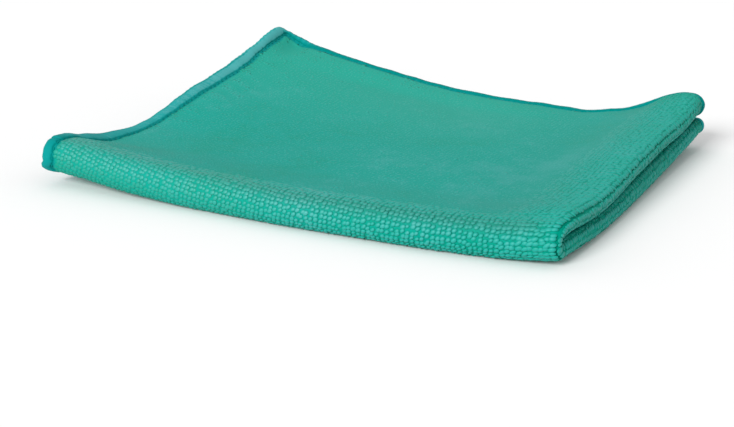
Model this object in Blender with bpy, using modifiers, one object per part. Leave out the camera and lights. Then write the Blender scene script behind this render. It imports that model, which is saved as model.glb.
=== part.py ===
"""A microfibre cleaning cloth, folded in quarters and lying on a flat surface.

One rectangle of cloth is folded across its length, then the doubled cloth is
folded across its width. Four layers lie on each other. The second fold runs
along the front (low Y) and the first fold along the right side (high X). The
cut, hemmed edges are on the left and at the back, where the upper layers
curl up off the lower ones.

Lengths in this file are millimetres. The mesh is made in metres.
"""

import math
from collections import namedtuple

import bmesh
import bpy

MM = 0.001

# ---------------------------------------------------------------- sizes
CUT_LENGTH = 360.0  # halved by the first fold, which ends up on the right
CUT_WIDTH = 320.0  # halved by the second fold, which ends up at the front
THICKNESS = 2.1  # one layer, its pile pressed
GAP = 0.35  # between layers that lie on each other
CORNER_RADIUS = 5.0  # of the cut cloth's four corners, as the overlock rounds them

SIDE_FADE_FRONT = 26.0  # how far the lips of the side fold reach, at the front
SIDE_FADE_BACK = 35.0  # the same, at the back
ORIGIN_X, ORIGIN_Y = 92.0, 78.0  # the origin, from the left hem and the front

ARC_STEPS = 5  # facets in a quarter turn of a fold
FLAT_STEPS_X = (0.015, 0.045, 0.085, 0.13, 0.185, 0.25, 0.34, 0.45, 0.56, 0.66, 0.75, 0.83, 0.9, 0.95, 0.984, 1.0)
FLAT_STEPS_Y = (0.02, 0.055, 0.1, 0.155, 0.22, 0.3, 0.39, 0.48, 0.57, 0.66, 0.745, 0.82, 0.88, 0.93, 0.962, 0.984, 1.0)

# The cloth isn't folded exactly on its middle lines, so no two hems line up.
# The left hems run round the front fold, and the back hems round the side
# fold: how far right of 0 or back of CUT_WIDTH / 2 each lies at the fold, and
# at the far end of its two runs.
LeftHem = namedtuple("LeftHem", "half at_fold upper_end lower_end")
LEFT_HEMS = (
    LeftHem(half="outer", at_fold=0.0, upper_end=0.2, lower_end=-0.9),
    LeftHem(half="inner", at_fold=1.9, upper_end=1.4, lower_end=0.6),
)
BackHem = namedtuple("BackHem", "half at_fold outer_end inner_end")
BACK_HEMS = (
    BackHem(half="upper", at_fold=-0.6, outer_end=0.2, inner_end=-1.1),
    BackHem(half="lower", at_fold=1.2, outer_end=2.3, inner_end=0.9),
)

# The front fold, from left to right: how far it sits back, how far its
# underside is off the surface, the gap inside each pair of layers, the gap
# between the two pairs, inside the bend, and how far back its roll reaches.
Front = namedtuple("Front", "x back lift pair_gap mid_gap reach")
FRONT = (
    Front(x=0.0, back=2.5, lift=3.9, pair_gap=0.60, mid_gap=2.3, reach=21.0),
    Front(x=12.0, back=2.1, lift=3.3, pair_gap=0.70, mid_gap=2.5, reach=22.0),
    Front(x=28.0, back=0.8, lift=1.7, pair_gap=0.75, mid_gap=2.5, reach=26.0),
    Front(x=52.0, back=-0.6, lift=0.2, pair_gap=0.70, mid_gap=2.3, reach=30.0),
    Front(x=62.0, back=-1.1, lift=0.0, pair_gap=0.65, mid_gap=2.2, reach=30.0),
    Front(x=100.0, back=-3.0, lift=0.0, pair_gap=0.60, mid_gap=1.9, reach=30.0),
    Front(x=135.0, back=-3.1, lift=0.0, pair_gap=0.60, mid_gap=1.9, reach=30.0),
    Front(x=158.0, back=-1.6, lift=0.0, pair_gap=0.70, mid_gap=1.9, reach=30.0),
    Front(x=170.0, back=-0.4, lift=0.7, pair_gap=0.95, mid_gap=1.4, reach=30.0),
    Front(x=180.0, back=0.6, lift=1.5, pair_gap=1.10, mid_gap=0.9, reach=30.0),
)

# The side fold, from front to back: how far its outermost line is past
# CUT_LENGTH / 2, how far its underside is off the surface, and the gaps inside
# the lower lip, between the two lips and inside the upper lip, each over what
# the front fold gives.
Side = namedtuple("Side", "y past lift lower_gap mid_gap upper_gap")
SIDE = (
    Side(y=0.0, past=-1.8, lift=0.0, lower_gap=0.0, mid_gap=0.0, upper_gap=0.0),
    Side(y=5.0, past=-1.5, lift=0.0, lower_gap=0.0, mid_gap=0.0, upper_gap=0.0),
    Side(y=14.0, past=-0.7, lift=0.0, lower_gap=0.5, mid_gap=0.0, upper_gap=0.9),
    Side(y=28.0, past=0.0, lift=0.0, lower_gap=0.9, mid_gap=0.1, upper_gap=1.6),
    Side(y=50.0, past=0.3, lift=0.0, lower_gap=1.6, mid_gap=0.4, upper_gap=2.1),
    Side(y=76.0, past=0.4, lift=0.2, lower_gap=2.9, mid_gap=0.9, upper_gap=2.7),
    Side(y=102.0, past=0.3, lift=1.0, lower_gap=3.2, mid_gap=1.1, upper_gap=2.3),
    Side(y=130.0, past=0.4, lift=2.8, lower_gap=2.0, mid_gap=0.7, upper_gap=2.4),
    Side(y=150.0, past=0.9, lift=4.7, lower_gap=1.4, mid_gap=0.5, upper_gap=4.1),
    Side(y=160.0, past=1.1, lift=5.4, lower_gap=1.5, mid_gap=0.5, upper_gap=4.7),
)

# The curled corners. Each is a corner of the folded cloth, how far the curl
# reaches from it along X and Y, how sharply it turns up along each, and how
# much it adds under the bottom layer and to each gap, counted upwards.
Curl = namedtuple("Curl", "name corner_x corner_y reach_x reach_y turn_x turn_y under gap_1 gap_2 gap_3")
CURLS = (
    Curl("back left, upper layers", 0, 160, 128, 106, 2.0, 0.9, 0.0, 3.3, 8.9, 6.2),
    Curl("back left, bottom layer", 0, 160, 62, 62, 1.3, 1.3, 2.4, 0.3, 0.5, 0.0),
)

# Slow waves in the free hems, a few tenths of a millimetre in height.
Wave = namedtuple("Wave", "gap length_x length_y phase height")
WAVES = (
    Wave(gap=0, length_x=96.0, length_y=71.0, phase=0.4, height=0.22),
    Wave(gap=1, length_x=83.0, length_y=118.0, phase=2.1, height=0.30),
    Wave(gap=2, length_x=109.0, length_y=64.0, phase=4.0, height=0.26),
)

# Behind the back hem's band the upper layers swell, and the band droops over
# the lower ones: how far in from the hem the swell's top is, how high it is,
# and how far the hem drops below its layer's own height.
Droop = namedtuple("Droop", "x top_at swell drop")
DROOPS = (
    Droop(x=0.0, top_at=5.5, swell=1.1, drop=0.0),
    Droop(x=5.0, top_at=5.5, swell=-0.8, drop=0.0),
    Droop(x=10.0, top_at=5.0, swell=-2.3, drop=0.0),
    Droop(x=18.0, top_at=4.4, swell=0.2, drop=0.0),
    Droop(x=32.0, top_at=3.8, swell=1.9, drop=0.0),
    Droop(x=55.0, top_at=3.8, swell=2.9, drop=0.0),
    Droop(x=90.0, top_at=3.8, swell=1.8, drop=0.0),
    Droop(x=118.0, top_at=3.8, swell=1.4, drop=0.0),
    Droop(x=135.0, top_at=3.8, swell=0.7, drop=0.0),
    Droop(x=145.0, top_at=4.2, swell=0.9, drop=0.3),
    Droop(x=153.0, top_at=4.6, swell=-0.5, drop=0.6),
    Droop(x=160.0, top_at=5.6, swell=-1.3, drop=0.9),
    Droop(x=168.0, top_at=7.0, swell=0.4, drop=1.2),
    Droop(x=180.0, top_at=8.0, swell=1.1, drop=1.5),
)
DROOP_FADE = 20.0  # from the swell's top inwards

# The top layer's left hem turns up, most in the dip behind the roll.
Cuff = namedtuple("Cuff", "y up")
CUFFS = (
    Cuff(y=0.0, up=0.0),
    Cuff(y=8.0, up=0.6),
    Cuff(y=14.0, up=1.1),
    Cuff(y=20.0, up=1.5),
    Cuff(y=26.0, up=2.4),
    Cuff(y=34.0, up=2.3),
    Cuff(y=46.0, up=1.2),
    Cuff(y=64.0, up=0.3),
    Cuff(y=90.0, up=1.2),
    Cuff(y=115.0, up=1.0),
    Cuff(y=138.0, up=1.8),
    Cuff(y=152.0, up=1.6),
    Cuff(y=160.0, up=0.8),
)
CUFF_REACH = 9.0

# Under the roll the outer left hem sticks out in a small tip: where in the lower
# quarter turn, how far round it reaches either way, and how far it sticks out.
TIP_AT, TIP_REACH, TIP_OUT = 0.48, 0.38, 1.5

PULL_IN_X, PULL_IN_Y = 3.0, 2.6  # how far the curled corner draws in


# ---------------------------------------------------------------- tables
def along(rows, key, column, at):
    """The named column at a place between the table's rows, on a smooth curve through them."""
    places = [getattr(row, key) for row in rows]
    values = [getattr(row, column) for row in rows]
    if at <= places[0]:
        return values[0]
    if at >= places[-1]:
        return values[-1]
    i = max(k for k in range(len(rows) - 1) if places[k] <= at)
    steps = [(values[k + 1] - values[k]) / (places[k + 1] - places[k]) for k in range(len(rows) - 1)]

    def slope(k):
        if k == 0 or k == len(rows) - 1 or steps[k - 1] * steps[k] <= 0.0:
            return 0.0
        return 2.0 * steps[k - 1] * steps[k] / (steps[k - 1] + steps[k])

    width = places[i + 1] - places[i]
    t = (at - places[i]) / width
    return (
        values[i] * (1 + 2 * t) * (1 - t) ** 2
        + values[i + 1] * t * t * (3 - 2 * t)
        + slope(i) * width * t * (1 - t) ** 2
        - slope(i + 1) * width * t * t * (1 - t)
    )


def fade(distance, reach):
    """1 at no distance, 0 at the reach and past it, level at both ends."""
    t = min(max(distance / reach, 0.0), 1.0)
    return (1.0 - t) ** 2 * (1.0 + 2.0 * t)


def rise(distance, reach, turn):
    """1 at the corner, 0 at the reach and past it, with a soft start."""
    t = max(0.0, 1.0 - distance / reach)
    return (t * t / (t + 0.1) * 1.1) ** turn


# ---------------------------------------------------------------- the stack of layers
Gaps = namedtuple("Gaps", "under first middle last")


def front_back(x):
    return along(FRONT, "x", "back", x)


def bend(x):
    """(depth of the bend's centre, radius of the pair's middle, half the pair's spacing) at the front fold."""
    pair = along(FRONT, "x", "pair_gap", x)
    middle = along(FRONT, "x", "mid_gap", x)
    half = (THICKNESS + pair) / 2.0
    radius = (middle + THICKNESS + 2.0 * half) / 2.0
    return front_back(x) + radius + half + THICKNESS / 2.0, radius, half


def droop(x, y):
    """How much the swell behind the back hem adds to the upper layers' height."""
    top_at, swell, drop = (along(DROOPS, "x", column, x) for column in ("top_at", "swell", "drop"))
    inward = CUT_WIDTH / 2.0 - y
    if inward > top_at:
        return swell * fade(inward - top_at, DROOP_FADE)
    return swell - (swell + drop) * (1.0 - max(inward, 0.0) / top_at) ** 2


def gaps(x, y):
    """The free heights under the bottom layer and between the layers, in the flat part of the stack."""
    centre = bend(x)[0]
    reach = along(FRONT, "x", "reach", x)
    roll = fade(y - centre, reach)
    side_reach = SIDE_FADE_FRONT + (SIDE_FADE_BACK - SIDE_FADE_FRONT) * min(max(y / 160.0, 0.0), 1.0)
    lips = fade(176.0 - x, side_reach)
    pair = (along(FRONT, "x", "pair_gap", x) - GAP) * roll
    values = [
        along(FRONT, "x", "lift", x) * fade(y - centre, 1.45 * reach) + along(SIDE, "y", "lift", y) * fade(176.0 - x, side_reach * 1.25),
        GAP + pair + along(SIDE, "y", "lower_gap", y) * lips,
        GAP + (along(FRONT, "x", "mid_gap", x) - GAP) * roll + along(SIDE, "y", "mid_gap", y) * lips,
        GAP + pair + along(SIDE, "y", "upper_gap", y) * lips,
    ]
    for curl in CURLS:
        away_x = abs(x - curl.corner_x)
        away_y = abs(y - curl.corner_y)
        near = rise(away_x, curl.reach_x, curl.turn_x) * rise(away_y, curl.reach_y, curl.turn_y)
        for k, amount in enumerate((curl.under, curl.gap_1, curl.gap_2, curl.gap_3)):
            values[k] += amount * near
    swell = droop(x, y)
    values[2] += 0.45 * swell
    values[3] += 0.55 * swell + along(CUFFS, "y", "up", y) * max(0.0, 1.0 - max(x, 0.0) / CUFF_REACH) ** 2
    free = (1.0 - fade(y - centre, 60.0)) * (1.0 - fade(176.0 - x, 60.0))
    for wave in WAVES:
        crest = 0.5 + 0.5 * math.sin(2 * math.pi * (x / wave.length_x + y / wave.length_y) + wave.phase)
        values[1 + wave.gap] += wave.height * crest * free
    return Gaps(*values)


def curl_share(x, y, height):
    """How much of the full curl a layer at this height has, for the pull towards the middle."""
    return max(0.0, height - 10.0) / 20.0 * rise(x, 118.0, 1.0) * rise(160.0 - y, 98.0, 1.0)


# ---------------------------------------------------------------- the fold
def folded(side, across, half, down):
    """Where a point of the cut cloth lies once folded.

    side: 1 on the half that is outer at the front fold, -1 on the inner one.
    half: 1 on the upper half, -1 on the lower one.
    across, down: 0 on the fold line, 1 where its quarter turn ends, 2 at the hem.
    """
    left = LEFT_HEMS[0 if side > 0 else 1]
    left_end = left.upper_end if half > 0 else left.lower_end
    hem_x = left.at_fold + (left_end - left.at_fold) * (1.0 - fade(down - 1.0, 1.0))
    if side > 0 and half < 0:
        hem_x -= TIP_OUT * fade(abs(down - TIP_AT), TIP_REACH)
    back = BACK_HEMS[0 if half > 0 else 1]
    back_end = back.outer_end if side > 0 else back.inner_end
    hem_y = CUT_WIDTH / 2.0 + back.at_fold + (back_end - back.at_fold) * (1.0 - fade(across - 1.0, 1.0))

    def depth(x):
        centre, radius, _ = bend(x)
        if down <= 1.0:
            return centre - radius * math.cos(down * math.pi / 2.0)
        return centre + (hem_y - centre) * (down - 1.0)

    def spacing(x, y):
        if down <= 1.0:
            return bend(x)[2]
        level = gaps(x, y)
        return (THICKNESS + (level.last if half > 0 else level.first)) / 2.0

    x = y = 0.0
    edge = 170.0
    for _ in range(3):
        y = depth(x if across > 1.0 else edge)
        radius_x = spacing(edge, y)
        edge = CUT_LENGTH / 2.0 + along(SIDE, "y", "past", y) - radius_x - THICKNESS / 2.0
        if across <= 1.0:
            x = edge + radius_x * math.cos(across * math.pi / 2.0)
        else:
            x = edge - (edge - hem_x) * (across - 1.0)

    inside = min(x, edge)
    centre, radius, half_pair = bend(inside)
    turn = math.sin(across * math.pi / 2.0) if across <= 1.0 else 1.0
    level = gaps(inside, max(y, centre))
    bottom = THICKNESS / 2.0 + level.under
    if down <= 1.0:
        angle = down * math.pi / 2.0
        reach = radius + side * half_pair * turn
        y = centre - reach * math.cos(angle)
        z = bottom + half_pair + radius + half * reach * math.sin(angle)
    else:
        lower, upper = (THICKNESS + level.first) / 2.0, (THICKNESS + level.last) / 2.0
        if half < 0:
            z = bottom + lower - side * lower * turn
        else:
            z = bottom + 2.0 * lower + THICKNESS + level.middle + upper + side * upper * turn
        share = curl_share(inside, y, z)
        x += PULL_IN_X * share
        y -= PULL_IN_Y * share
    return x, y, z


def rounded(across, down):
    """The same place, drawn in where it is within a corner's radius of two hems."""
    from_x = CORNER_RADIUS - (2.0 - across) * CUT_LENGTH / 2.0
    from_y = CORNER_RADIUS - (2.0 - down) * CUT_WIDTH / 2.0
    if from_x <= 0.0 or from_y <= 0.0:
        return across, down
    square = 2.0 * CORNER_RADIUS**2
    in_x = from_x * (1.0 - math.sqrt(1.0 - from_y**2 / square))
    in_y = from_y * (1.0 - math.sqrt(1.0 - from_x**2 / square))
    return across - in_x / (CUT_LENGTH / 2.0), down - in_y / (CUT_WIDTH / 2.0)


def lines(flat_steps):
    """The grid lines of the cut cloth, hem to hem, as (side of the fold line, place) pairs."""
    places = [k / ARC_STEPS for k in range(1, ARC_STEPS + 1)] + [1.0 + step for step in flat_steps]
    return [(-1, place) for place in reversed(places)] + [(1, 0.0)] + [(1, place) for place in places]


def make_cloth(collection):
    lines_x, lines_y = lines(FLAT_STEPS_X), lines(FLAT_STEPS_Y)
    mesh = bpy.data.meshes.new("cloth")
    sheet = bmesh.new()
    bmesh.ops.create_grid(sheet, x_segments=len(lines_x) - 1, y_segments=len(lines_y) - 1, size=1.0)
    for point in sheet.verts:
        column = round((point.co.x + 1.0) / 2.0 * (len(lines_x) - 1))
        row = round((point.co.y + 1.0) / 2.0 * (len(lines_y) - 1))
        side, across = lines_x[column]
        half, down = lines_y[row]
        across, down = rounded(across, down)
        x, y, z = folded(side, across, half, down)
        point.co = ((x - ORIGIN_X) * MM, (y - ORIGIN_Y) * MM, z * MM)
    sheet.to_mesh(mesh)
    sheet.free()
    cloth = bpy.data.objects.new("cloth", mesh)
    collection.objects.link(cloth)
    thickness = cloth.modifiers.new("thickness", "SOLIDIFY")
    thickness.thickness = THICKNESS * MM
    thickness.offset = 0.0
    thickness.use_even_offset = False
    mesh.shade_smooth()
    return cloth


def microfibre():
    material = bpy.data.materials.new("microfibre")
    material.use_nodes = True
    shader = material.node_tree.nodes["Principled BSDF"]
    shader.inputs["Base Color"].default_value = (0.035, 0.42, 0.30, 1.0)
    shader.inputs["Roughness"].default_value = 0.95
    shader.inputs["Metallic"].default_value = 0.0
    return material


def main():
    for old in list(bpy.data.objects):
        bpy.data.objects.remove(old, do_unlink=True)
    collection = bpy.data.collections.new("microfibre_cloth")
    bpy.context.scene.collection.children.link(collection)
    cloth = make_cloth(collection)
    cloth.data.materials.append(microfibre())


main()
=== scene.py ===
"""The looks of a looped microfibre cloth, folded in quarters.

The cloth's ground, its pile loops and its overlock hem are meshes laid on the
same folded surface as the solid cloth. A place on the cloth is given by two
signed distances in millimetres: across, from the side fold's line (positive on
the half that is outer at the front fold), and down, from the front fold's line
(positive on the upper half). place() folds it.
"""

import math

import bpy
import numpy as np
from mathutils import Matrix


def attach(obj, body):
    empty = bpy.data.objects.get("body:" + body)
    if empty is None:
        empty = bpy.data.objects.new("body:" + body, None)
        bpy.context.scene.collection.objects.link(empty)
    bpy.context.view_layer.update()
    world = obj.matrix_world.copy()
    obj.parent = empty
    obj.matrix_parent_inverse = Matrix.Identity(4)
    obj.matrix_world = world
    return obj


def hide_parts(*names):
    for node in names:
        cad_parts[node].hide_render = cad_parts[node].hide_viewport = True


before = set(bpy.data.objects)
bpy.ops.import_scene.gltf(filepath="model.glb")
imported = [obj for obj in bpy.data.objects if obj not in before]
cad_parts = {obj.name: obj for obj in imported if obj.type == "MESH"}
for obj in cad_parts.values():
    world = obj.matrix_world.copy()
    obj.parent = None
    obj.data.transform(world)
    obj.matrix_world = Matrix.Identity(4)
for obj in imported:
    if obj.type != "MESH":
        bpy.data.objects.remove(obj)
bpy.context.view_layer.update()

MM = 0.001
RANDOM = np.random.default_rng(20)

# ---------------------------------------------------------------- the folded cloth's sizes, as in the solid
CUT_LENGTH, CUT_WIDTH = 360.0, 320.0
THICKNESS, GAP = 2.1, 0.35
CORNER_RADIUS = 5.0
SIDE_FADE_FRONT, SIDE_FADE_BACK = 26.0, 35.0
ORIGIN = np.array((92.0, 78.0, 0.0))
PULL_IN_X, PULL_IN_Y = 3.0, 2.6

LEFT_HEMS = {  # half of the cloth: at the fold, upper end, lower end
    "outer": (0.0, 0.2, -0.9),
    "inner": (1.9, 1.4, 0.6),
}
BACK_HEMS = {  # half of the cloth: at the fold, outer end, inner end
    "upper": (-0.6, 0.2, -1.1),
    "lower": (1.2, 2.3, 0.9),
}
FRONT = {
    "x": (0.0, 12.0, 28.0, 52.0, 62.0, 100.0, 135.0, 158.0, 170.0, 180.0),
    "back": (2.5, 2.1, 0.8, -0.6, -1.1, -3.0, -3.1, -1.6, -0.4, 0.6),
    "lift": (3.9, 3.3, 1.7, 0.2, 0.0, 0.0, 0.0, 0.0, 0.7, 1.5),
    "pair_gap": (0.60, 0.70, 0.75, 0.70, 0.65, 0.60, 0.60, 0.70, 0.95, 1.10),
    "mid_gap": (2.3, 2.5, 2.5, 2.3, 2.2, 1.9, 1.9, 1.9, 1.4, 0.9),
    "reach": (21.0, 22.0, 26.0, 30.0, 30.0, 30.0, 30.0, 30.0, 30.0, 30.0),
}
SIDE = {
    "y": (0.0, 5.0, 14.0, 28.0, 50.0, 76.0, 102.0, 130.0, 150.0, 160.0),
    "past": (-1.8, -1.5, -0.7, 0.0, 0.3, 0.4, 0.3, 0.4, 0.9, 1.1),
    "lift": (0.0, 0.0, 0.0, 0.0, 0.0, 0.2, 1.0, 2.8, 4.7, 5.4),
    "lower_gap": (0.0, 0.0, 0.5, 0.9, 1.6, 2.9, 3.2, 2.0, 1.4, 1.5),
    "mid_gap": (0.0, 0.0, 0.0, 0.1, 0.4, 0.9, 1.1, 0.7, 0.5, 0.5),
    "upper_gap": (0.0, 0.0, 0.9, 1.6, 2.1, 2.7, 2.3, 2.4, 4.1, 4.7),
}
CURLS = (  # reach x, reach y, turn x, turn y, then what each adds under the bottom layer and to the three gaps
    (128, 106, 2.0, 0.9, (0.0, 3.3, 8.9, 6.2)),
    (62, 62, 1.3, 1.3, (2.4, 0.3, 0.5, 0.0)),
)
WAVES = (  # gap, wave length along x and y, phase, height
    (0, 96.0, 71.0, 0.4, 0.22),
    (1, 83.0, 118.0, 2.1, 0.30),
    (2, 109.0, 64.0, 4.0, 0.26),
)
DROOPS = {
    "x": (0.0, 5.0, 10.0, 18.0, 32.0, 55.0, 90.0, 118.0, 135.0, 145.0, 153.0, 160.0, 168.0, 180.0),
    "top_at": (5.5, 5.5, 5.0, 4.4, 3.8, 3.8, 3.8, 3.8, 3.8, 4.2, 4.6, 5.6, 7.0, 8.0),
    "swell": (1.1, -0.8, -2.3, 0.2, 1.9, 2.9, 1.8, 1.4, 0.7, 0.9, -0.5, -1.3, 0.4, 1.1),
    "drop": (0.0, 0.0, 0.0, 0.0, 0.0, 0.0, 0.0, 0.0, 0.0, 0.3, 0.6, 0.9, 1.2, 1.5),
}
DROOP_FADE = 20.0
CUFFS = {
    "y": (0.0, 8.0, 14.0, 20.0, 26.0, 34.0, 46.0, 64.0, 90.0, 115.0, 138.0, 152.0, 160.0),
    "up": (0.0, 0.6, 1.1, 1.5, 2.4, 2.3, 1.2, 0.3, 1.2, 1.0, 1.8, 1.6, 0.8),
}
CUFF_REACH = 9.0
TIP_AT, TIP_REACH, TIP_OUT = 0.48, 0.38, 1.5

# ---------------------------------------------------------------- the pile and the hem
PITCH_ACROSS, PITCH_DOWN = 1.57, 1.30  # between loops
SKEW = 0.19  # how far the grain leans off the folds at the left
NEEDLE_LINE = {  # how far in from the cut edge the overlock's needle line runs, on hems that cross the front or the side fold
    "run": (0.0, 12.0, 24.0, 40.0, 118.0, 128.0, 136.0, 146.0, 158.0, 166.0, 171.0, 180.0),
    "front": (4.0, 4.4, 4.9, 5.2, 5.2, 4.7, 3.8, 3.3, 3.3, 3.3, 3.3, 3.3),
    "side": (2.6, 3.0, 3.8, 4.7, 4.9, 4.9, 4.8, 4.7, 4.3, 2.9, 1.8, 1.9),
}
WRAPS_PER_STITCH, STITCH = 3, 2.7
ACROSS_WRAP = 4  # places along the edge for each wrap


# ---------------------------------------------------------------- tables
def along(table, key, column, at):
    """The named column at places between the table's own, on a smooth curve through them."""
    places, values = np.array(table[key], float), np.array(table[column], float)
    widths = np.diff(places)
    steps = np.diff(values) / widths
    slopes = np.zeros(len(values))
    same = steps[:-1] * steps[1:] > 0
    slopes[1:-1][same] = 2 * (steps[:-1] * steps[1:])[same] / (steps[:-1] + steps[1:])[same]
    at = np.clip(at, places[0], places[-1])
    i = np.clip(np.searchsorted(places, at, side="right") - 1, 0, len(widths) - 1)
    t = (at - places[i]) / widths[i]
    return (
        values[i] * (1 + 2 * t) * (1 - t) ** 2
        + values[i + 1] * t * t * (3 - 2 * t)
        + slopes[i] * widths[i] * t * (1 - t) ** 2
        - slopes[i + 1] * widths[i] * t * t * (1 - t)
    )


def fade(distance, reach):
    t = np.clip(distance / reach, 0.0, 1.0)
    return (1.0 - t) ** 2 * (1.0 + 2.0 * t)


def rise(distance, reach, turn):
    t = np.maximum(0.0, 1.0 - distance / reach)
    return (t * t / (t + 0.1) * 1.1) ** turn


def bend(x):
    """(depth of the bend's centre, radius of the pair's middle, half the pair's spacing) at the front fold."""
    pair, middle = along(FRONT, "x", "pair_gap", x), along(FRONT, "x", "mid_gap", x)
    half = (THICKNESS + pair) / 2.0
    radius = (middle + THICKNESS + 2.0 * half) / 2.0
    return along(FRONT, "x", "back", x) + radius + half + THICKNESS / 2.0, radius, half


def droop(x, y):
    """How much the swell behind the back hem adds to the upper layers' height."""
    top_at, swell, drop = (along(DROOPS, "x", column, x) for column in ("top_at", "swell", "drop"))
    inward = CUT_WIDTH / 2.0 - y
    over = swell - (swell + drop) * (1.0 - np.clip(inward / top_at, 0.0, 1.0)) ** 2
    return np.where(inward > top_at, swell * fade(inward - top_at, DROOP_FADE), over)


def gaps(x, y):
    """The free heights under the bottom layer and between the layers."""
    centre = bend(x)[0]
    roll_reach = along(FRONT, "x", "reach", x)
    roll = fade(y - centre, roll_reach)
    reach = SIDE_FADE_FRONT + (SIDE_FADE_BACK - SIDE_FADE_FRONT) * np.clip(y / 160.0, 0.0, 1.0)
    lips = fade(176.0 - x, reach)
    pair = (along(FRONT, "x", "pair_gap", x) - GAP) * roll
    values = [
        along(FRONT, "x", "lift", x) * fade(y - centre, 1.45 * roll_reach) + along(SIDE, "y", "lift", y) * fade(176.0 - x, reach * 1.25),
        GAP + pair + along(SIDE, "y", "lower_gap", y) * lips,
        GAP + (along(FRONT, "x", "mid_gap", x) - GAP) * roll + along(SIDE, "y", "mid_gap", y) * lips,
        GAP + pair + along(SIDE, "y", "upper_gap", y) * lips,
    ]
    for reach_x, reach_y, turn_x, turn_y, amounts in CURLS:
        near = rise(np.abs(x), reach_x, turn_x) * rise(np.abs(y - 160.0), reach_y, turn_y)
        values = [value + amount * near for value, amount in zip(values, amounts)]
    swell = droop(x, y)
    values[2] = values[2] + 0.45 * swell
    values[3] = values[3] + 0.55 * swell + along(CUFFS, "y", "up", y) * np.maximum(0.0, 1.0 - np.maximum(x, 0.0) / CUFF_REACH) ** 2
    free = (1.0 - fade(y - centre, 60.0)) * (1.0 - fade(176.0 - x, 60.0))
    for gap, length_x, length_y, phase, height in WAVES:
        crest = 0.5 + 0.5 * np.sin(2 * math.pi * (x / length_x + y / length_y) + phase)
        values[1 + gap] = values[1 + gap] + height * crest * free
    return values


def place(across, down):
    """Where these places of the cut cloth lie once folded, in millimetres from the origin. It is the middle of the cloth's thickness."""
    across, down = np.broadcast_arrays(np.asarray(across, float), np.asarray(down, float))
    side, half = np.where(across >= 0, 1.0, -1.0), np.where(down >= 0, 1.0, -1.0)
    u, v = np.abs(across), np.abs(down)
    outer, upper = side > 0, half > 0
    left_fold = np.where(outer, LEFT_HEMS["outer"][0], LEFT_HEMS["inner"][0])
    left_end = np.where(
        outer,
        np.where(upper, LEFT_HEMS["outer"][1], LEFT_HEMS["outer"][2]),
        np.where(upper, LEFT_HEMS["inner"][1], LEFT_HEMS["inner"][2]),
    )
    back_fold = np.where(upper, BACK_HEMS["upper"][0], BACK_HEMS["lower"][0])
    back_end = np.where(
        upper,
        np.where(outer, BACK_HEMS["upper"][1], BACK_HEMS["upper"][2]),
        np.where(outer, BACK_HEMS["lower"][1], BACK_HEMS["lower"][2]),
    )
    quarter = math.pi / 2.0
    x, edge = 180.0 - u, np.full(u.shape, 176.0)
    turn = np.ones(u.shape)
    share_u, share_v = u / 180.0 + 1.0, v / 160.0 + 1.0
    for _ in range(4):
        centre, radius, pair = bend(np.minimum(x, edge))
        arc = quarter * (radius + side * pair * turn)
        share_v = np.where(v < arc, v / arc, 1.0 + (v - arc) / (CUT_WIDTH / 2.0 - arc))
        hem_y = CUT_WIDTH / 2.0 + back_fold + (back_end - back_fold) * (1.0 - fade(share_u - 1.0, 1.0))
        in_bend = share_v <= 1.0
        y = np.where(in_bend, centre - radius * np.cos(np.minimum(share_v, 1.0) * quarter), centre + (hem_y - centre) * (share_v - 1.0))
        level = gaps(edge, y)
        spacing = np.where(in_bend, bend(edge)[2], (THICKNESS + np.where(upper, level[3], level[1])) / 2.0)
        edge = CUT_LENGTH / 2.0 + along(SIDE, "y", "past", y) - spacing - THICKNESS / 2.0
        arc = quarter * spacing
        share_u = np.where(u < arc, u / arc, 1.0 + (u - arc) / (CUT_LENGTH / 2.0 - arc))
        hem_x = left_fold + (left_end - left_fold) * (1.0 - fade(share_v - 1.0, 1.0))
        hem_x = hem_x - np.where(outer & ~upper, TIP_OUT * fade(np.abs(share_v - TIP_AT), TIP_REACH), 0.0)
        turned = share_u <= 1.0
        angle_u = np.minimum(share_u, 1.0) * quarter
        x = np.where(turned, edge + spacing * np.cos(angle_u), edge - (edge - hem_x) * (share_u - 1.0))
        turn = np.sin(angle_u)
    inside = np.minimum(x, edge)
    centre, radius, pair = bend(inside)
    under, first, middle, last = gaps(inside, np.maximum(y, centre))
    bottom = THICKNESS / 2.0 + under
    angle = np.minimum(share_v, 1.0) * quarter
    reach = radius + side * pair * turn
    lower, higher = (THICKNESS + first) / 2.0, (THICKNESS + last) / 2.0
    flat_z = np.where(
        upper,
        bottom + 2.0 * lower + THICKNESS + middle + higher + side * higher * turn,
        bottom + lower - side * lower * turn,
    )
    z = np.where(in_bend, bottom + pair + radius + half * reach * np.sin(angle), flat_z)
    y = np.where(in_bend, centre - reach * np.cos(angle), y)
    share = np.where(in_bend, 0.0, np.maximum(0.0, z - 10.0) / 20.0 * rise(inside, 118.0, 1.0) * rise(160.0 - y, 98.0, 1.0))
    return np.stack((x + PULL_IN_X * share, y - PULL_IN_Y * share, z), -1) - ORIGIN


def grain(points):
    """Smooth noise from -1 to 1 over points, from a few turned waves."""
    total = np.zeros(points.shape[:-1])
    for k in range(9):
        angle = 2.399963 * k
        turned = points[..., 0] * math.cos(angle) + points[..., 1] * math.sin(angle)
        total += np.sin(turned * (1.0 + 0.17 * k) + 1.7 * k + 1.3 * np.sin(points[..., 0] * 0.31 * (k % 3 + 1) - points[..., 1] * 0.23 * (k % 4 + 1)))
    return total / 4.0


def from_hem(across, down):
    """How far a place of the cut cloth is from its cut edge, round its corners too."""
    to_left, to_back = CUT_LENGTH / 2.0 - np.abs(across), CUT_WIDTH / 2.0 - np.abs(down)
    in_x, in_y = CORNER_RADIUS - to_left, CORNER_RADIUS - to_back
    corner = (in_x > 0) & (in_y > 0)
    return np.where(corner, CORNER_RADIUS - np.hypot(np.maximum(in_x, 0), np.maximum(in_y, 0)), np.minimum(to_left, to_back))


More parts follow.
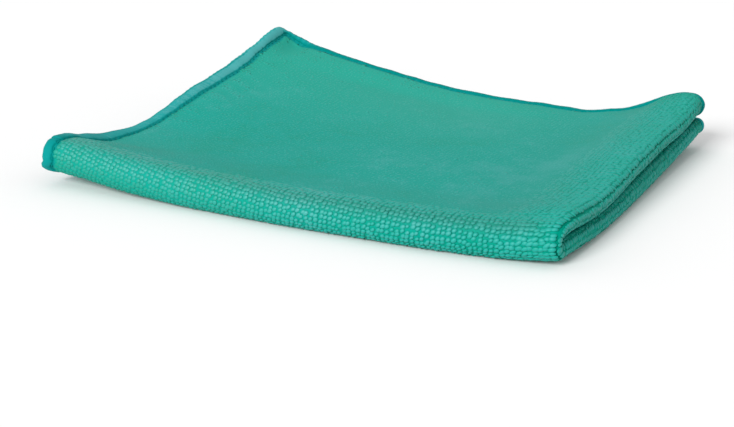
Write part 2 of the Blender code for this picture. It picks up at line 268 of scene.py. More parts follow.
def needle_line(across, down):
    """How far the needle line is from the cut edge, near a place of the cut cloth."""
    to_left, to_back = CUT_LENGTH / 2.0 - np.abs(across), CUT_WIDTH / 2.0 - np.abs(down)
    left, back = along(NEEDLE_LINE, "run", "front", np.abs(down)), along(NEEDLE_LINE, "run", "side", np.abs(across))
    mix = np.clip(0.5 + (to_left - to_back) / 8.0, 0.0, 1.0)
    return left * (1.0 - mix) + back * mix


def seam_pull(across, down):
    """How far the needle line draws down the pile next to it. It reaches further from the back hems."""
    to_left, to_back = CUT_LENGTH / 2.0 - np.abs(across), CUT_WIDTH / 2.0 - np.abs(down)
    reach = 10.0 - 6.5 * fade(to_left - to_back + 6.0, 12.0)
    return fade(from_hem(across, down) - needle_line(across, down) - 1.2, reach)


def creases(across, down):
    """A few creases, from -1 to 1, that run in from the left hem where it starts to curl up."""
    inward = from_hem(across, down)
    skewed = down + 0.55 * inward
    near = np.exp(-(((skewed - 110.0) / 15.0) ** 2)) * np.clip((inward - 5.0) / 6.0, 0.0, 1.0) * fade(inward - 11.0, 17.0)
    return np.sin(skewed * 0.78) * near * (across > 100.0)


def puckered(across, down):
    """place(), with the hem's shallow puckers and the faint unevenness of a soft cloth."""
    points = place(across, down)
    inward = from_hem(across, down)
    to_side = CUT_LENGTH / 2.0 - np.abs(across) < CUT_WIDTH / 2.0 - np.abs(down)
    run = np.where(to_side, down + 40.0 + 0.35 * inward, across - 60.0)
    ripple = np.sin(run / 2.1 + 1.1 * np.sin(run / 9.0)) + 0.8 * np.sin(run / 5.3 + 2.0)
    lift = 0.13 * ripple * np.exp(-np.maximum(inward, 0.0) / np.where(to_side, 14.0, 7.0))
    lift = lift + 0.07 * creases(across, down)
    lift = lift + 0.12 * grain(np.stack((across / 17.0, down / 17.0), -1))
    top = ((across > 0) & (down > 0)).astype(float)
    points[..., 2] += lift * (0.35 + 0.65 * top) * np.clip((points[..., 2] - 1.2) / 2.0, 0.0, 1.0)
    return points


def surface(across, down):
    """(point, outward normal, direction of across, direction of down) at these places, on the cloth's middle."""
    across, down = np.broadcast_arrays(np.asarray(across, float), np.asarray(down, float))
    step = 0.3
    along_u = puckered(across + step, down) - puckered(across - step, down)
    along_v = puckered(across, down + step) - puckered(across, down - step)
    normal = -np.cross(along_u, along_v)
    unit = lambda vectors: vectors / np.maximum(np.linalg.norm(vectors, axis=-1, keepdims=True), 1e-9)
    normal = unit(normal)
    along_u = unit(along_u)
    return puckered(across, down), normal, along_u, np.cross(along_u, normal)


# ---------------------------------------------------------------- meshes
def mesh_object(name, points, faces, material, attributes=()):
    """A smooth mesh object from points in millimetres and an array of triangles or quads."""
    mesh = bpy.data.meshes.new(name)
    faces = np.asarray(faces, np.int32)
    corners = faces.shape[1]
    mesh.vertices.add(len(points))
    mesh.vertices.foreach_set("co", (np.asarray(points) * MM).astype(np.float32).ravel())
    mesh.loops.add(faces.size)
    mesh.loops.foreach_set("vertex_index", faces.ravel())
    mesh.polygons.add(len(faces))
    mesh.polygons.foreach_set("loop_start", np.arange(0, faces.size, corners, dtype=np.int32))
    mesh.polygons.foreach_set("loop_total", np.full(len(faces), corners, np.int32))
    mesh.polygons.foreach_set("use_smooth", np.ones(len(faces), bool))
    for key, values in attributes:
        made = mesh.attributes.new(key, "FLOAT", "POINT")
        made.data.foreach_set("value", np.asarray(values, np.float32).ravel())
    mesh.update(calc_edges=True)
    mesh.validate()
    mesh.materials.append(material)
    made = bpy.data.objects.new(name, mesh)
    bpy.context.scene.collection.objects.link(made)
    return made


def blob(sides, rings):
    """A closed round bead as (ring radius, height from 0 to 1, angle) rows and its triangles. Its two ends are single points."""
    heights = {1: (0.53,), 2: (0.34, 0.80), 3: (0.24, 0.57, 0.84)}[rings]
    radii = {1: (1.0,), 2: (1.0, 0.74), 3: (0.90, 1.0, 0.72)}[rings]
    rows = [(0.0, 0.0, 0.0)]
    for ring, (height, radius) in enumerate(zip(heights, radii)):
        rows += [(radius, height, 2 * math.pi * (k + 0.5 * (ring % 2)) / sides) for k in range(sides)]
    rows.append((0.0, 1.0, 0.0))
    last = len(rows) - 1
    faces = []
    for k in range(sides):
        n = (k + 1) % sides
        faces.append((0, 1 + n, 1 + k))
        for ring in range(rings - 1):
            a, b = 1 + ring * sides, 1 + (ring + 1) * sides
            if ring % 2 == 0:
                faces += [(a + k, a + n, b + k), (a + n, b + n, b + k)]
            else:
                faces += [(a + k, a + n, b + n), (a + k, b + n, b + k)]
        top = 1 + (rings - 1) * sides
        faces.append((last, top + k, top + n))
    return np.array(rows), np.array(faces)


def loops(name, across, down, face, sides, rings, material, wide=1.0):
    """One bead for each pile loop, standing on that face of the cloth (1 outer, -1 inner).

    On the bends the loops fan out and show one by one. Where the cloth lies
    flat they are wide, low and pressed together.
    """
    count = len(across)
    front, side = open_at_front(across, down), open_at_side(across, down)
    if face < 0:
        front, side = front * 0.3, side * 0.3
    opened = np.maximum(front, side)[:, None]
    parting = np.exp(-(((across - 1.2) / 1.6) ** 2)) * (face > 0)
    # Towards the left the front fold's loops are smaller and lie in plainer rows.
    in_rows = fade(np.abs(down) - 5.2, 7.5) * (1.0 - towards_right(across)) * (face > 0)
    across = across + RANDOM.normal(0, 1, count) * (0.26 - 0.13 * opened[:, 0]) * (1.0 - 0.25 * parting)
    down = down + RANDOM.normal(0, 1, count) * (0.24 - 0.12 * opened[:, 0]) * (1.0 - 0.50 * in_rows)
    in_rows = in_rows[:, None]
    middle, normal, along_u, along_v = surface(across, down)
    normal = normal * face
    rows, faces = blob(sides, rings)
    radius, height, angle = rows.T
    size = RANDOM.normal(1.0, 0.09, (count, 1)) * wide
    twist = RANDOM.normal(0.0, 1.0, (count, 1)) * (0.9 - 0.65 * opened) * (1.0 - 0.75 * in_rows)
    fan_u, fan_v = 1.0 + 0.42 * side[:, None], 1.0 + 0.20 * front[:, None]
    out_u = (1.04 + (0.83 * fan_u - 1.04) * opened) * (1.0 - 0.12 * in_rows) * size * np.cos(angle) * radius
    out_v = (0.95 + (0.62 * fan_v - 0.95) * opened) * (1.0 - 0.14 * in_rows) * size * np.sin(angle) * radius
    turned_u = out_u * np.cos(twist) - out_v * np.sin(twist)
    turned_v = out_u * np.sin(twist) + out_v * np.cos(twist)
    turned_u = turned_u - 0.34 * turned_v * front[:, None]
    # The seam draws the pile down next to it.
    seam = seam_pull(across, down)[:, None]
    low = 0.66 - 0.44 * opened - 0.22 * seam
    top = 1.00 + 0.08 * opened - 0.22 * seam + RANDOM.normal(0, 1, (count, 1)) * (0.026 + 0.032 * opened)
    level = low + (top - low) * height
    lean_u = RANDOM.normal(0.0, 0.16, (count, 1)) * opened
    lean_v = RANDOM.normal(-0.04, 0.16, (count, 1)) * opened
    turned_u = turned_u + lean_u * height
    turned_v = turned_v + lean_v * height
    points = (
        middle[:, None, :]
        + along_u[:, None, :] * turned_u[..., None]
        + along_v[:, None, :] * turned_v[..., None]
        + normal[:, None, :] * level[..., None]
    )
    points[..., 2] = np.maximum(points[..., 2], 0.03)
    flat = np.stack((across, down), -1)
    tone = 0.5 + (0.12 - 0.02 * opened[:, 0]) * RANDOM.normal(0, 1, count) + 0.09 * grain(flat / 5.5) + 0.08 * grain(flat / 21.0 + 3.0)
    # Loops that face down or aside are painted darker, a painted shade, and the creases get painted light and shade
    # across them.
    under = np.clip((-down - 2.0) / 8.0, 0.0, 1.0) * (np.abs(down) < 20.0)
    tone = np.clip(tone - 0.22 * under - 0.20 * side + 0.38 * creases(across, down) * (face > 0), 0, 1)
    # The tip value runs from painted shade at a loop's base to its top, and is lowered for painted shade where the seam
    # draws the pile down and on the front fold's lower side towards the left.
    shown = 0.22 + 0.78 * opened
    left_under = fade(150.0 - across, 45.0) * np.clip((4.0 - down) / 6.0, 0.0, 1.0) * (np.abs(down) < 20.0) * (face > 0)
    tips = (height * shown + 0.80 * (1.0 - shown)) * (1.0 - 0.42 * seam) * (1.0 - 0.42 * left_under[:, None])
    all_faces = (faces[None] + (np.arange(count) * len(rows))[:, None, None]).reshape(-1, 3)
    gleam, shade_and_sheen_values, far = (np.repeat(found(across, down) * (face > 0), len(rows)) for found in (shine, bend_shade_and_sheen, back_light_and_sheen))
    values = (("tone", np.repeat(tone, len(rows))), ("tip", tips), ("shine", gleam), ("bend_shade_and_sheen", shade_and_sheen_values), ("back_light_and_sheen", far))
    return mesh_object(name, points.reshape(-1, 3), all_faces, material, values)


# ---------------------------------------------------------------- materials
def material(name):
    made = bpy.data.materials.new(name)
    made.use_nodes = True
    tree = made.node_tree
    return made, tree, tree.nodes["Principled BSDF"]


def attribute(tree, name):
    node = tree.nodes.new("ShaderNodeAttribute")
    node.attribute_name = name
    return node.outputs["Fac"]


def maths(tree, kind, a, b=None, clamp=False):
    node = tree.nodes.new("ShaderNodeMath")
    node.operation = kind
    node.use_clamp = clamp
    for socket, value in zip(node.inputs, (a, b)):
        if value is None:
            continue
        if isinstance(value, (int, float)):
            socket.default_value = value
        else:
            tree.links.new(value, socket)
    return node.outputs[0]


def ramp(tree, factor, stops):
    node = tree.nodes.new("ShaderNodeValToRGB")
    node.color_ramp.interpolation = "EASE"
    while len(node.color_ramp.elements) < len(stops):
        node.color_ramp.elements.new(0.5)
    for element, (at, colour) in zip(node.color_ramp.elements, stops):
        element.position = at
        element.color = (*colour, 1.0)
    tree.links.new(factor, node.inputs["Fac"])
    return node.outputs["Color"]


def mixed(tree, factor, first, second):
    """The two colours mixed. The second may be plain."""
    mix = tree.nodes.new("ShaderNodeMix")
    mix.data_type = "RGBA"
    tree.links.new(factor, mix.inputs["Factor"])
    sockets = [socket for socket in mix.inputs if socket.type == "RGBA"]
    tree.links.new(first, sockets[0])
    if isinstance(second, tuple):
        sockets[1].default_value = (*second, 1.0)
    else:
        tree.links.new(second, sockets[1])
    return [socket for socket in mix.outputs if socket.type == "RGBA"][0]


def noise(tree, scale, detail=2.0, stretch=(1, 1, 1)):
    where = tree.nodes.new("ShaderNodeTexCoord")
    mapping = tree.nodes.new("ShaderNodeMapping")
    mapping.inputs["Scale"].default_value = stretch
    tree.links.new(where.outputs["Object"], mapping.inputs["Vector"])
    node = tree.nodes.new("ShaderNodeTexNoise")
    node.inputs["Scale"].default_value = scale
    node.inputs["Detail"].default_value = detail
    tree.links.new(mapping.outputs["Vector"], node.inputs["Vector"])
    return node.outputs["Fac"]


def bump(tree, shader, height, strength, distance):
    node = tree.nodes.new("ShaderNodeBump")
    node.inputs["Strength"].default_value = strength
    node.inputs["Distance"].default_value = distance
    tree.links.new(height, node.inputs["Height"])
    tree.links.new(node.outputs["Normal"], shader.inputs["Normal"])


def pile_colour(tree):
    """From painted shade deep between the loops to their tips, which carry a little painted sheen, a little lighter and
    darker loop by loop, with painted light and sheen towards the back of the top and painted shade and sheen where the
    front fold's bend starts.
    """
    factor = maths(tree, "MULTIPLY", attribute(tree, "tip"), 0.76)
    factor = maths(tree, "ADD", factor, maths(tree, "MULTIPLY", attribute(tree, "tone"), 0.30))
    fibres = maths(tree, "MULTIPLY", maths(tree, "SUBTRACT", noise(tree, 1300.0, 3.0), 0.5), 0.20)
    patches = maths(tree, "MULTIPLY", maths(tree, "SUBTRACT", noise(tree, 26.0, 3.0), 0.5), 0.66)
    mottle = maths(tree, "MULTIPLY", maths(tree, "SUBTRACT", noise(tree, 170.0, 2.0), 0.5), 0.34)
    factor = maths(tree, "ADD", maths(tree, "ADD", maths(tree, "ADD", factor, fibres), mottle), patches, clamp=True)
    # The ramp's low end is painted shade deep between the loops; its top is a little painted sheen.
    colour = ramp(
        tree,
        factor,
        (
            (0.00, (0.000, 0.120, 0.082)),
            (0.24, (0.000, 0.272, 0.190)),
            (0.52, (0.000, 0.278, 0.208)),
            (0.78, (0.002, 0.300, 0.245)),
            (0.98, (0.026, 0.318, 0.280)),
        ),
    )
    # Painted light and sheen towards the back of the top, then painted shade and sheen where the front fold's bend
    # starts.
    colour = mixed(tree, maths(tree, "MULTIPLY", attribute(tree, "back_light_and_sheen"), 0.50), colour, (0.028, 0.352, 0.258))
    return mixed(tree, maths(tree, "MULTIPLY", attribute(tree, "bend_shade_and_sheen"), 0.50), colour, (0.032, 0.195, 0.158))


def soften(tree, shader, gloss, sheen, roughness):
    """Gloss and sheen at the tips, and none deep down."""
    tip = maths(tree, "ADD", attribute(tree, "tip"), 0.0, clamp=True)
    gleam = maths(tree, "ADD", maths(tree, "MULTIPLY", attribute(tree, "shine"), 0.45), gloss)
    tree.links.new(maths(tree, "MULTIPLY", tip, gleam), shader.inputs["Specular IOR Level"])
    tree.links.new(maths(tree, "MULTIPLY", tip, sheen), shader.inputs["Sheen Weight"])
    shader.inputs["Roughness"].default_value = roughness
    shader.inputs["Sheen Roughness"].default_value = 0.5
    shader.inputs["Sheen Tint"].default_value = (0.75, 1.0, 0.96, 1.0)


def pile_material():
    made, tree, shader = material("microfibre_pile")
    tree.links.new(pile_colour(tree), shader.inputs["Base Color"])
    soften(tree, shader, 0.27, 0.02, 0.52)
    bump(tree, shader, noise(tree, 4200.0, 2.0), 0.30, 0.00008)
    return made


def hem_colour(tree):
    """From painted shade at the needle line to the top of the overlock."""
    factor = maths(tree, "MULTIPLY", attribute(tree, "tip"), 0.70)
    factor = maths(tree, "ADD", factor, maths(tree, "MULTIPLY", attribute(tree, "tone"), 0.25))
    fibres = maths(tree, "MULTIPLY", maths(tree, "SUBTRACT", noise(tree, 1500.0, 3.0), 0.5), 0.30)
    factor = maths(tree, "ADD", factor, fibres, clamp=True)
    return ramp(
        tree,
        factor,
        (
            (0.05, (0.000, 0.190, 0.163)),
            (0.30, (0.000, 0.200, 0.184)),
            (0.55, (0.000, 0.232, 0.222)),
            (0.85, (0.010, 0.300, 0.292)),
            (1.00, (0.062, 0.352, 0.352)),
        ),
    )


def ground_material():
    """The knit between the loops, and the cloth's edge under the overlock."""
    made, tree, shader = material("microfibre_ground")
    tree.links.new(mixed(tree, attribute(tree, "hem"), pile_colour(tree), hem_colour(tree)), shader.inputs["Base Color"])
    soften(tree, shader, 0.14, 0.02, 0.65)
    bump(tree, shader, noise(tree, 2600.0, 3.0), 0.35, 0.0002)
    return made


def thread_material():
    made, tree, shader = material("hem_thread")
    tree.links.new(hem_colour(tree), shader.inputs["Base Color"])
    soften(tree, shader, 0.08, 0.03, 0.70)
    bump(tree, shader, noise(tree, 4200.0, 2.0), 0.25, 0.0001)
    return made


# ---------------------------------------------------------------- the ground of the cloth
def half_thickness(inward, needle, opened, seam):
    """Half the ground's thickness: round in the hem, thin at the needle line, then just under the loops' tips."""
    rounded = np.sqrt(np.clip(1.0 - (1.0 - np.clip(inward / 0.95, 0, 1)) ** 2, 0, 1))
    hem = 0.86 * rounded
    past = inward - needle
    pile = 0.94 - 0.30 * opened - 0.22 * seam
    groove = 0.38
    into = np.clip((past + 0.95) / 0.75, 0.0, 1.0)
    out = np.clip((past - 0.55) / 1.2, 0.0, 1.0)
    smooth = lambda t: t * t * (3.0 - 2.0 * t)
    return np.where(past < 0.0, hem + (groove - hem) * smooth(into), groove + (pile - groove) * smooth(out))


def towards_right(across):
    return 1.0 - fade(150.0 - np.abs(across), 130.0)


def open_at_front(across, down):
    """How far the front fold's bend parts the loops, less towards the left."""
    return fade(np.abs(down) - 5.2, 7.5) * (0.36 + 0.64 * towards_right(across))


def shine(across, down):
    """The front fold's stretched loops gleam, most towards the left."""
    return fade(np.abs(down - 4.0) - 3.5, np.where(down > 4.0, 8.0, 5.0)) * (1.0 - 0.80 * towards_right(across)) * (across > 0)


def bend_shade_and_sheen(across, down):
    """Painted shade and sheen, darker and greyer: where the front fold's bend starts, least towards the left, and a
    little on the slope up from the side fold.
    """
    left = fade(130.0 - np.abs(across), 50.0)
    front = np.exp(-(((down - 5.2 - 2.2 * left) / 2.6) ** 2)) * (1.0 - 0.5 * left) * fade(12.0 - across, 10.0)
    return np.maximum(front, 0.42 * fade(across - 10.0, 45.0) * np.clip((down - 8.0) / 12.0, 0.0, 1.0) * (across > -1.0))


def back_light_and_sheen(across, down):
    """Painted light and sheen: a little lighter towards the back of the top, away from the side fold."""
    return fade(150.0 - down, 90.0) * (1.0 - fade(across - 12.0, 75.0)) * (across > 0.0)


def open_at_side(across, down):
    return fade(np.abs(across) - 3.5, 20.0)


def openness(across, down):
    """How far apart the loops stand: fully on the bends, little where the cloth lies flat."""
    return np.maximum(open_at_front(across, down), open_at_side(across, down))


def graded(total, arc):
    """Distances from a fold line to the hem, close together at both."""
    near = np.linspace(0.0, arc, 12)
    flat = np.linspace(arc, total - 7.6, int((total - 7.6 - arc) / 2.35))[1:]
    hem = total - np.array((6.9, 6.4, 5.9, 5.5, 5.1, 4.7, 4.3, 3.9, 3.5, 3.1, 2.6, 1.9, 1.3, 0.9, 0.55, 0.28, 0.1, 0.0))
    places = np.concatenate((near, flat, hem))
    return np.concatenate((-places[:0:-1], places))


def make_ground(made_of):
    across = graded(CUT_LENGTH / 2.0, 5.0)
    down = graded(CUT_WIDTH / 2.0, 9.0)
    u, v = np.meshgrid(across, down, indexing="ij")
    # The corners' grid lines are drawn in to the rounded corner.
    in_x = np.maximum(CORNER_RADIUS - (CUT_LENGTH / 2.0 - np.abs(u)), 0.0)
    in_y = np.maximum(CORNER_RADIUS - (CUT_WIDTH / 2.0 - np.abs(v)), 0.0)
    both = (in_x > 0) & (in_y > 0)
    square = 2.0 * CORNER_RADIUS**2
    u = u - np.where(both, np.sign(u) * in_x * (1.0 - np.sqrt(1.0 - in_y**2 / square)), 0.0)
    v = v - np.where(both, np.sign(v) * in_y * (1.0 - np.sqrt(1.0 - in_x**2 / square)), 0.0)
    inward = np.maximum(from_hem(u, v), 0.0)
    border = np.zeros(u.shape, bool)
    border[0, :] = border[-1, :] = border[:, 0] = border[:, -1] = True
    inward = np.where(border, 0.0, inward)
    middle, normal, _, _ = surface(u, v)
    needle = needle_line(u, v)
    opened = openness(u, v)
    parted_loops = np.maximum(open_at_front(u, v), 0.55 * open_at_side(u, v))
    thick = half_thickness(inward, needle, parted_loops, seam_pull(u, v))[..., None]
    parting = 0.24 * np.exp(-(((u - 1.25) / 0.50) ** 2))[..., None]
    outer, inner = middle + normal * (thick - parting), middle - normal * thick
    outer[..., 2] = np.maximum(outer[..., 2], 0.05)
    rows, columns = u.shape
    index = np.arange(rows * columns).reshape(rows, columns)
    inner_index = np.full((rows, columns), -1)
    inner_index[border] = index[border]
    inner_index[~border] = rows * columns + np.arange((~border).sum())
    points = np.concatenate((outer.reshape(-1, 3), inner[~border]))

    def quads(ids):
        return np.stack((ids[:-1, :-1], ids[1:, :-1], ids[1:, 1:], ids[:-1, 1:]), -1).reshape(-1, 4)

    faces = np.concatenate((quads(index)[:, ::-1], quads(inner_index)))
    hem = fade(inward - needle - 0.9, 0.6)
    deep = np.exp(-(((inward - needle - 0.45) / 1.15) ** 2))
    parted = np.exp(-(((u - 1.25) / 0.50) ** 2))
    # Painted shade: the ground is darker where it shows between parted loops, in the groove at the needle line, darkest
    # in front, and in the side fold's parting.
    tip = np.where(hem > 0.5, 0.75, 0.80 - 0.48 * opened) * (1.0 - (0.65 - 0.35 * fade(150.0 - v, 110.0)) * deep) - 0.45 * parted
    both_sides = lambda values: np.concatenate((values.ravel(), values[~border]))
    # The creases get painted light and shade across them.
    tone = both_sides(0.5 + 0.07 * grain(np.stack((u, v), -1) / 5.5) + 0.38 * creases(u, v))
    shade_and_sheen_values, far = (np.concatenate((values.ravel(), np.zeros((~border).sum()))) for values in (bend_shade_and_sheen(u, v), back_light_and_sheen(u, v)))
    values = (("hem", both_sides(hem)), ("tip", both_sides(tip)), ("tone", tone), ("bend_shade_and_sheen", shade_and_sheen_values), ("back_light_and_sheen", far))
    return mesh_object("cloth_ground", points, faces, made_of, values)


# ---------------------------------------------------------------- the pile
def lattice():
    """Every loop's place on the cut cloth, in rows that lean off the folds at the left."""
    columns = np.arange(-150, 151) * PITCH_ACROSS
    rows = np.arange(-150, 151) * PITCH_DOWN
    p, q = np.meshgrid(columns, rows, indexing="ij")
    p, q = p.ravel() + 0.4, q.ravel() + 0.3
    across, down = p.copy(), q.copy()
    for _ in range(12):
        down = q + SKEW * np.maximum(across, 0.0) ** 2 / 350.0
        across = p / (1.0 + SKEW * np.where(p > 0, 1.0, 0.0) * 60.0 * np.tanh(down / 60.0) / 175.0)
    keep = (np.abs(across) < CUT_LENGTH / 2.0) & (np.abs(down) < CUT_WIDTH / 2.0)
    across, down = across[keep], down[keep]
    # The side fold's outermost columns part along one thin groove.
    across = across + 0.16 * np.exp(-(((across - 2.1) / 1.3) ** 2)) * (across > 1.2) - 0.10 * np.exp(-(((across - 0.4) / 0.7) ** 2))
    keep = from_hem(across, down) > needle_line(across, down) + 1.55
    return across[keep], down[keep]


def make_pile(made_of):
    across, down = lattice()
    opened = openness(across, down)
    lips = (across > -6.0) & (across < 9.5)
    roll = (across >= 9.5) & (np.abs(down) < 12.0)
    upper = (across >= 9.5) & (down >= 12.0)
    under = (across >= 9.5) & (down <= -12.0)
    near = opened > 0.04
    inward, needle = from_hem(across, down), needle_line(across, down)
    # Inside the fold only the loops that can be seen between the layers are made.
    x, y = CUT_LENGTH / 2.0 - np.abs(across), np.abs(down)
    _, first, middle, last = gaps(x, y)
    inside = (across <= -6.0) & ((inward < needle + 2.5 + 2.2 * middle) | (across > -13.0))
    back = inward < needle + 2.0 + 2.2 * np.where(down > 0, last, first)
    made = []
    for name, part, face, sides, rings, wide in (
        ("pile_side_fold", lips, 1, 7, 3, 1.0),
        ("pile_front_fold", roll, 1, 8, 3, 1.0),
        ("pile_top_near", upper & near, 1, 6, 2, 1.03),
        ("pile_top", upper & ~near, 1, 6, 1, 1.03),
        ("pile_under", under, 1, 4, 1, 1.1),
        ("pile_inside", inside, 1, 4, 1, 1.1),
        ("pile_back", back, -1, 4, 1, 1.1),
    ):
        made.append(loops(name, across[part], down[part], face, sides, rings, made_of, wide))
    return made


# ---------------------------------------------------------------- the hem
def hem_line(count):
    """(across, down, inward across, inward down) at even steps round the cut edge."""
    straight_x, straight_y = CUT_LENGTH / 2.0 - CORNER_RADIUS, CUT_WIDTH / 2.0 - CORNER_RADIUS
    quarter = CORNER_RADIUS * math.pi / 2.0
    runs = (2 * straight_y, quarter, 2 * straight_x, quarter, 2 * straight_y, quarter, 2 * straight_x, quarter)
    ends = np.cumsum(runs)
    s = (np.arange(count) + 0.5) / count * ends[-1]
    across, down, in_u, in_v = (np.zeros(count) for _ in range(4))
    corners = ((1, 1), (-1, 1), (-1, -1), (1, -1))
    for k in range(4):
        start = ends[2 * k - 1] if k else 0.0
        straight = (s >= start) & (s < ends[2 * k])
        t = s[straight] - start
        if k == 0:
            across[straight], down[straight], in_u[straight] = CUT_LENGTH / 2.0, t - straight_y, -1
        if k == 1:
            across[straight], down[straight], in_v[straight] = straight_x - t, CUT_WIDTH / 2.0, -1
        if k == 2:
            across[straight], down[straight], in_u[straight] = -CUT_LENGTH / 2.0, straight_y - t, 1
        if k == 3:
            across[straight], down[straight], in_v[straight] = t - straight_x, -CUT_WIDTH / 2.0, 1
        turn = (s >= ends[2 * k]) & (s < ends[2 * k + 1])
        angle = (s[turn] - ends[2 * k]) / CORNER_RADIUS + k * math.pi / 2.0
        across[turn] = corners[k][0] * straight_x + CORNER_RADIUS * np.cos(angle)
        down[turn] = corners[k][1] * straight_y + CORNER_RADIUS * np.sin(angle)
        in_u[turn], in_v[turn] = -np.cos(angle), -np.sin(angle)
    return across, down, in_u, in_v


def threads(name, paths, wide, thick, degrees, made_of, tone, tip):
    """A joined mesh of short threads, along paths of (threads, points, 3). tip is how light each point along a path is."""
    middle, normal, cross = paths
    count, length, _ = middle.shape
    angles, sides = np.radians(degrees), len(degrees)
    ring = (
        middle[:, :, None, :]
        + cross[:, :, None, :] * (np.cos(angles) * wide)[None, None, :, None]
        + normal[:, :, None, :] * (np.sin(angles) * thick)[None, None, :, None]
    )
    points = ring.reshape(-1, 3)
    one = []
    for k in range(length - 1):
        for j in range(sides):
            n = (j + 1) % sides
            a, b = k * sides, (k + 1) * sides
            one += [(a + j, a + n, b + n), (a + j, b + n, b + j)]
    for j in range(1, sides - 1):
        one.append((0, j + 1, j))
        last = (length - 1) * sides
        one.append((last, last + j, last + j + 1))
    one = np.array(one)
    faces = (one[None] + (np.arange(count) * length * sides)[:, None, None]).reshape(-1, 3)
    points[:, 2] = np.maximum(points[:, 2], 0.02)
    tones, tips = np.repeat(tone, length * sides), np.repeat(np.broadcast_to(tip, (count, length)).ravel(), sides)
    return mesh_object(name, points, faces, made_of, (("tone", tones), ("tip", tips)))


def on_hem(across, down, in_u, in_v, depth, sway, level):
    """(centres, normals, ways along the edge) of points at a depth in from the cut edge, a sway along it and a level over the cloth's middle."""
    u = across[:, None] + in_u[:, None] * depth - in_v[:, None] * sway
    v = down[:, None] + in_v[:, None] * depth + in_u[:, None] * sway
    past_u, past_v = np.maximum(np.abs(u) - CUT_LENGTH / 2.0, 0.0), np.maximum(np.abs(v) - CUT_WIDTH / 2.0, 0.0)
    middle, normal, along_u, along_v = surface(np.clip(u, -CUT_LENGTH / 2.0, CUT_LENGTH / 2.0), np.clip(v, -CUT_WIDTH / 2.0, CUT_WIDTH / 2.0))
    out = -(along_u * in_u[:, None, None] + along_v * in_v[:, None, None])
    return middle + normal * level[..., None] + out * np.hypot(past_u, past_v)[..., None], normal, np.cross(normal, out)


def band(name, points, made_of, tone, tip):
    """A closed band round the whole cut edge, from points of (places along it, points across it, 3)."""
    places, across, _ = points.shape
    index = np.arange(places * across).reshape(places, across)
    after = np.roll(index, -1, axis=0)
    faces = np.stack((index[:, :-1], after[:, :-1], after[:, 1:], index[:, 1:]), -1).reshape(-1, 4)
    points = points.reshape(-1, 3)
    points[:, 2] = np.maximum(points[:, 2], 0.02)
    spread = lambda values: np.broadcast_to(values, (places, across)).ravel()
    return mesh_object(name, points, faces, made_of, (("tone", spread(tone)), ("tip", spread(tip))))


def make_hem(made_of):
    total = 2 * (CUT_LENGTH + CUT_WIDTH) - 8 * CORNER_RADIUS + 2 * math.pi * CORNER_RADIUS
    stitches = int(round(total / STITCH))
    count = stitches * WRAPS_PER_STITCH
    # A wrap runs from the needle line on the outer face, round the cut edge, to the needle line on the inner face.
    share = np.array((1.00, 0.93, 0.82, 0.55, 0.30, 0.10, -0.03, 0.10, 0.30, 0.55, 0.82, 0.93, 1.00))[None]
    level = np.array((0.20, 0.62, 0.95, 1.04, 1.00, 0.72, 0.0, -0.72, -1.00, -1.04, -0.95, -0.62, -0.20))[None]
    across, down, in_u, in_v = hem_line(count * ACROSS_WRAP)
    # The wraps lie close and a little slanted, each one a low rib.
    slanted = (np.arange(count * ACROSS_WRAP)[:, None] + 0.5) / ACROSS_WRAP + np.linspace(-0.8, 0.8, share.shape[1])[None]
    rib = 1.0 - np.abs(2.0 * (slanted % 1.0) - 1.0) ** 2.5
    which = np.floor(slanted).astype(int) % count
    bunch = 0.5 - 0.5 * np.cos(2.0 * math.pi * slanted / WRAPS_PER_STITCH)
    loose = RANDOM.normal(0, 1, stitches)[which // WRAPS_PER_STITCH]
    ragged = RANDOM.normal(0.0, 0.13, count)[which]
    rounded = np.clip(1.0 - share * 3.0, 0.0, 1.0)
    depth = needle_line(across, down)[:, None] * share + ragged * (share > 0.9) - (0.04 * rib + 0.14 * bunch + 0.05 * loose * bunch) * rounded
    heights = level * (0.95 + 0.030 * rib + (0.02 + 0.01 * loose) * bunch)
    centre = on_hem(across, down, in_u, in_v, depth, 0.0 * depth, heights)[0]
    tone = np.clip(0.5 + 0.10 * RANDOM.normal(0, 1, count)[which] + 0.16 * (rib - 0.7), 0, 1)
    # The wraps are painted darker towards the needle line, a painted shade in its groove, most where the needle went
    # through, and a little darker round the cut edge and near the front fold.
    # The back hem's painted shade is wider, as that band faces away from the light.
    narrow = 1.0 - 0.82 * np.abs(in_v)[:, None] * (down > 100.0)[:, None]
    tip = np.clip((1.0 - share) * (9.0 - 3.0 * bunch) * narrow * (1.0 + 0.06 * loose), 0.0, 1.0)
    tip = tip * (1.0 - 0.22 * rounded) * (1.0 - 0.38 * fade(np.abs(down) - 7.0, 9.0)[:, None])
    # The left hem pales towards the back.
    tip = tip * (1.0 + 0.30 * (fade(150.0 - down, 130.0) * np.abs(in_u))[:, None])
    made = [band("hem_wraps", centre, made_of, tone, tip)]
    # The needle thread's stitches lie in the groove on the outer face.
    across, down, in_u, in_v = hem_line(stitches)
    needle = needle_line(across, down)[:, None]
    run = np.linspace(-1.0, 1.0, 5)[None] * STITCH * 0.36
    at = needle + 0.22 + 0.0 * run
    levels = np.broadcast_to(np.array((0.12, 0.36, 0.42, 0.36, 0.12)), at.shape)
    centre, normal, _ = on_hem(across, down, in_u, in_v, at, run + 0.0 * at, levels)
    tangent = np.gradient(centre, axis=1)
    tangent /= np.linalg.norm(tangent, axis=-1, keepdims=True)
    cross = np.cross(tangent, normal)
    tone = np.clip(0.5 + 0.15 * RANDOM.normal(0, 1, stitches), 0, 1)
    # The stitches' ends are painted darker, a painted shade of the needle holes, and all are lighter towards the back.
    tip = np.array((-0.1, 0.12, 0.22, 0.12, -0.1))[None] + 0.35 * fade(150.0 - down, 110.0)[:, None]
    made.append(threads("hem_needle_stitches", (centre, normal, cross), 0.30, 0.26, (18, 90, 162, 234, 306), made_of, tone, tip))
    return made


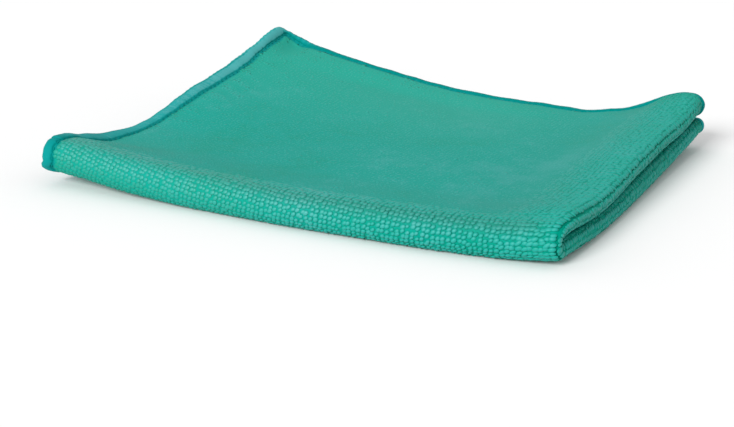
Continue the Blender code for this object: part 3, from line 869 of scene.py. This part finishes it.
# ---------------------------------------------------------------- the stage
def make_stage():
    mesh = bpy.data.meshes.new("floor")
    mesh.from_pydata([(-6, -6, 0), (6, -6, 0), (6, 6, 0), (-6, 6, 0)], [], [(0, 1, 2, 3)])
    floor = bpy.data.objects.new("floor", mesh)
    bpy.context.scene.collection.objects.link(floor)
    made, tree, shader = material("floor")
    shader.inputs["Base Color"].default_value = (0.90, 0.90, 0.90, 1.0)
    shader.inputs["Roughness"].default_value = 0.9
    shader.inputs["Specular IOR Level"].default_value = 0.1
    mesh.materials.append(made)


def soft_light(name, azimuth, elevation, angle, strength):
    """A wide, even light from far off. azimuth is round from the front, positive towards the right."""
    data = bpy.data.lights.new(name, "SUN")
    data.energy, data.angle = strength, math.radians(angle)
    light = bpy.data.objects.new(name, data)
    bpy.context.scene.collection.objects.link(light)
    light.rotation_euler = (math.radians(90.0 - elevation), 0.0, math.radians(azimuth))


def make_lights():
    world = bpy.data.worlds.new("studio")
    world.use_nodes = True
    world.node_tree.nodes["Background"].inputs["Color"].default_value = (1.0, 1.0, 1.0, 1.0)
    world.node_tree.nodes["Background"].inputs["Strength"].default_value = 0.68
    bpy.context.scene.world = world
    soft_light("key", -8.0, 28.0, 24.0, 3.0)


def make_camera():
    focal_px, pitch, yaw, distance, roll = 1400.0, math.radians(16.845), math.radians(25.81), 436.282, math.radians(-0.742)
    aside, behind = 108.091, -23.96
    ex = np.array((math.cos(yaw), math.sin(yaw), 0.0))
    ey = np.array((-math.sin(yaw), math.cos(yaw), 0.0))
    ez = np.array((0.0, 0.0, 1.0))
    where = aside * ex + (behind - distance * math.cos(pitch)) * ey + distance * math.sin(pitch) * ez - ORIGIN
    forward = math.cos(pitch) * ey - math.sin(pitch) * ez
    level_up = math.sin(pitch) * ey + math.cos(pitch) * ez
    right = math.cos(roll) * ex - math.sin(roll) * level_up
    up = math.sin(roll) * ex + math.cos(roll) * level_up
    data = bpy.data.cameras.new("camera")
    data.sensor_width = 36.0
    data.lens = focal_px * 36.0 / 734.0
    data.clip_start, data.clip_end = 0.01, 20.0
    camera = bpy.data.objects.new("camera", data)
    bpy.context.scene.collection.objects.link(camera)
    where = where * MM
    camera.matrix_world = Matrix(
        (
            (right[0], up[0], -forward[0], where[0]),
            (right[1], up[1], -forward[1], where[1]),
            (right[2], up[2], -forward[2], where[2]),
            (0, 0, 0, 1),
        )
    )
    bpy.context.scene.camera = camera


def main():
    make_camera()
    make_lights()
    make_stage()
    pile, ground, thread = pile_material(), ground_material(), thread_material()
    cloth = make_ground(ground)
    piles = make_pile(pile)
    hems = make_hem(thread)
    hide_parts("cloth")
    total = 0
    for piece in [cloth, *piles, *hems]:
        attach(piece, "root")
        piece.data.calc_loop_triangles()
        total += len(piece.data.loop_triangles)
        print(piece.name, len(piece.data.loop_triangles), "triangles")
    print("all", total, "triangles")
    bpy.context.scene.view_settings.view_transform = "Standard"


main()
